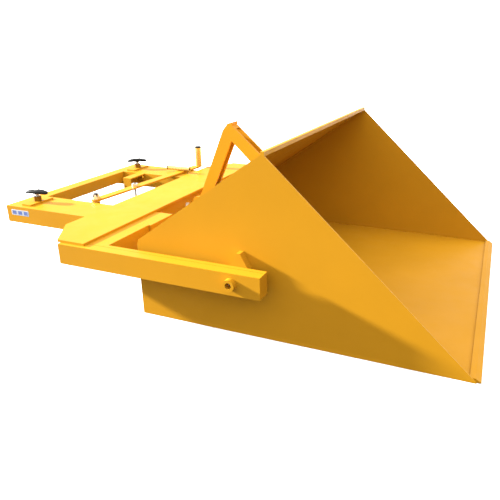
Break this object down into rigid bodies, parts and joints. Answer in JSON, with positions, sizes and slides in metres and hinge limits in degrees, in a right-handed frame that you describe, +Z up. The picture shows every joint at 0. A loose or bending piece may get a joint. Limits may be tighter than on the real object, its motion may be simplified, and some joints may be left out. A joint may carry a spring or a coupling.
{
  "type": "fork-mounted tipping bucket",
  "caption": "Scoop bucket pivoted between two arms of a fork-pocket frame, with a lever-worked centre latch and fork clamps with bar knobs.",
  "frame": {"origin": "on the bucket floor's underside, at mid-width and mid-length of the whole attachment", "axes": "+Z up; +X across the width, away from the side in the picture; +Y along the length, towards the open ends of the fork pockets; -Y is the mouth of the bucket"},
  "size_m": [1.4, 1.88, 0.595],
  "materials": {
    "yellow_paint": "smooth glossy orange-yellow paint",
    "steel": "bright zinc-plated steel",
    "dark_steel": "dark oiled steel",
    "black_plastic": "smooth black moulded plastic"
  },
  "bodies": {
    "frame": {"arm_near": "yellow_paint", "arm_far": "yellow_paint", "arm_caps_near": "yellow_paint", "arm_caps_far": "yellow_paint", "boss_tube_near": "yellow_paint", "boss_tube_far": "yellow_paint", "cross_tube_near": "yellow_paint", "cross_tube_far": "yellow_paint", "stop_strip_near": "yellow_paint", "stop_strip_far": "yellow_paint", "main_beam": "yellow_paint", "side_beam_near": "yellow_paint", "side_beam_far": "yellow_paint", "deck_plate": "yellow_paint", "fork_pocket_near": "yellow_paint", "fork_pocket_far": "yellow_paint", "rear_beam": "yellow_paint", "side_bracket": "yellow_paint", "lever_post": "yellow_paint", "latch_guide": "steel", "clamp_pads": "yellow_paint", "clamp_nuts": "yellow_paint", "lever_bolt": "dark_steel", "castle_nut": "steel", "lever_washer": "steel"},
    "bucket": {"side_plate_near": "yellow_paint", "side_plate_far": "yellow_paint", "floor_plate": "yellow_paint", "rear_wall": "yellow_paint", "back_plate": "yellow_paint", "lip_bar": "yellow_paint", "cutting_edge": "yellow_paint", "pivot_lug_near": "yellow_paint", "pivot_lug_far": "yellow_paint", "pivot_pin_near": "steel", "pivot_pin_far": "steel", "arch_plate_near": "yellow_paint", "arch_plate_far": "yellow_paint", "arch_web": "yellow_paint", "arch_spacer": "yellow_paint", "keeper_bars": "steel"},
    "lever": {"lever_bar": "yellow_paint", "lever_grip_flat": "yellow_paint", "grip_plug_flat": "black_plastic", "lever_grip_upright": "yellow_paint", "grip_plug_upright": "black_plastic"},
    "latch": {"latch_bolt": "steel", "draw_rod": "steel", "draw_rod_nut": "steel"},
    "foot_near": {"clamp_foot_near": "steel"},
    "knob_near": {"clamp_screw_near": "steel", "clamp_knob_near": "black_plastic"},
    "foot_far": {"clamp_foot_far": "steel"},
    "knob_far": {"clamp_screw_far": "steel", "clamp_knob_far": "black_plastic"}
  },
  "joints": [
    {"name": "bucket_tip", "type": "hinge", "parent": "frame", "child": "bucket", "pos_m": [0, -0.217, 0.213], "axis": [1, 0, 0], "range_deg": [0, 75]},
    {"name": "lever_swing", "type": "hinge", "parent": "frame", "child": "lever", "pos_m": [-0.24, 0.637, 0.262], "axis": [0, 0, 1], "range_deg": [-8.5, 4]},
    {"name": "latch_slide", "type": "slide", "parent": "frame", "child": "latch", "axis": [0, 1, 0], "range_m": [-0.037, 0.018]},
    {"name": "clamp_down_near", "type": "slide", "parent": "frame", "child": "foot_near", "axis": [0, 0, 1], "range_m": [-0.012, 0]},
    {"name": "clamp_turn_near", "type": "hinge", "parent": "foot_near", "child": "knob_near", "pos_m": [-0.346, 0.852, 0.3], "axis": [0, 0, 1], "range_deg": [-1441, 1]},
    {"name": "clamp_down_far", "type": "slide", "parent": "frame", "child": "foot_far", "axis": [0, 0, 1], "range_m": [-0.012, 0]},
    {"name": "clamp_turn_far", "type": "hinge", "parent": "foot_far", "child": "knob_far", "pos_m": [0.346, 0.852, 0.3], "axis": [0, 0, 1], "range_deg": [-1441, 1]}
  ],
  "couplings": [
    {"joint": "latch_slide", "follows": "lever_swing", "m_per_rad": 0.2424},
    {"joint": "clamp_turn_near", "follows": "clamp_down_near", "rad_per_m": 2094.4},
    {"joint": "clamp_turn_far", "follows": "clamp_down_far", "rad_per_m": 2094.4}
  ]
}
